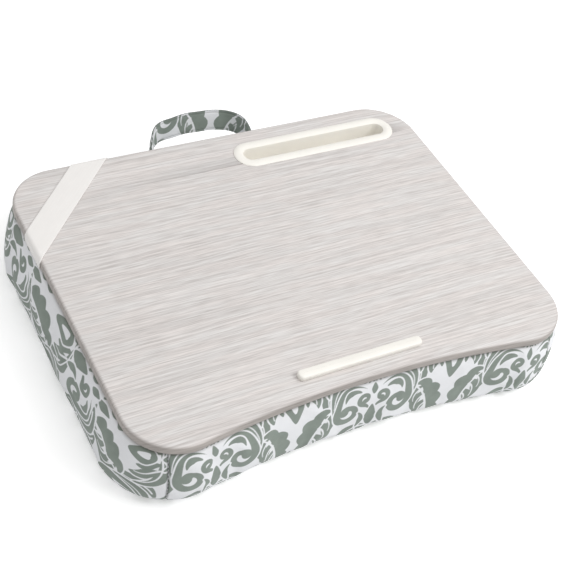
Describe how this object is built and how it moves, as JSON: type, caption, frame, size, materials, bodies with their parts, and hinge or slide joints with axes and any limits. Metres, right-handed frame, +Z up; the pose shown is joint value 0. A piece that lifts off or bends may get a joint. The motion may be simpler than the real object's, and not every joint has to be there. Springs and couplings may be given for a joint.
{
  "type": "lap tray with cushion",
  "caption": "Concave-fronted laptop board with phone slot, device ledge and elastic corner strap on a bead-filled cushion with a swinging cloth handle.",
  "frame": {"origin": "on the flat under the cushion, below the middle of the board", "axes": "+X to the right along the board's long side, +Y to the back where the handle is, +Z up"},
  "size_m": [0.4678, 0.4057, 0.0816],
  "materials": {
    "fibreboard": "raw sawn edge",
    "wood_grain_film": "satin",
    "moulded_white": "satin",
    "elastic": "woven",
    "damask_cloth": "woven",
    "plain_cloth": "non-woven",
    "bead_fill": "soft",
    "steel": "zinc plated"
  },
  "bodies": {
    "desk": {"board_core": "fibreboard", "board_laminate": "wood_grain_film", "phone_slot_insert": "moulded_white", "device_ledge": "moulded_white", "ledge_screws": "steel", "elastic_strap": "elastic", "strap_staples": "steel", "cover_front": "damask_cloth", "cover_back": "damask_cloth", "cover_left": "damask_cloth", "cover_right": "damask_cloth", "cover_bottom": "damask_cloth", "top_ticking": "plain_cloth", "cover_staples": "steel", "centre_divider": "plain_cloth", "bead_bag_left": "bead_fill", "bead_bag_right": "bead_fill", "handle_end_left": "damask_cloth", "handle_end_right": "damask_cloth"},
    "handle": {"handle_band": "damask_cloth"}
  },
  "joints": [
    {"name": "handle_swing", "type": "hinge", "parent": "desk", "child": "handle", "pos_m": [0, 0.1878, 0.054], "axis": [1, 0, 0], "range_deg": [-70, 40]}
  ]
}
